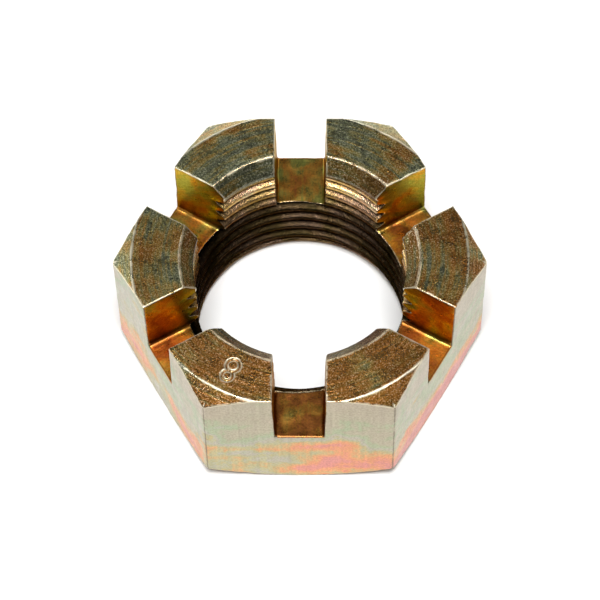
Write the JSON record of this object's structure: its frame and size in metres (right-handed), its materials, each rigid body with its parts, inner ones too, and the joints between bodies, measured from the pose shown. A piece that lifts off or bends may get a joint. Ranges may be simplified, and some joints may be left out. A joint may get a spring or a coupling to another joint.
{
  "type": "castle nut",
  "caption": "Low hexagon castle nut with a fine-thread bore and slots milled across the crown for a split pin.",
  "frame": {"origin": "centre of the bore at the bearing face", "axes": "+Z along the bore axis, from the bearing face to the slotted crown; two of the hexagon's flats face +Y and -Y and two of its corners point along +X and -X"},
  "size_m": [0.0322, 0.028, 0.0142],
  "materials": {
    "plated_steel": "yellow chromated zinc plate"
  },
  "bodies": {
    "root": {"castle_nut": "plated_steel"}
  },
  "joints": []
}
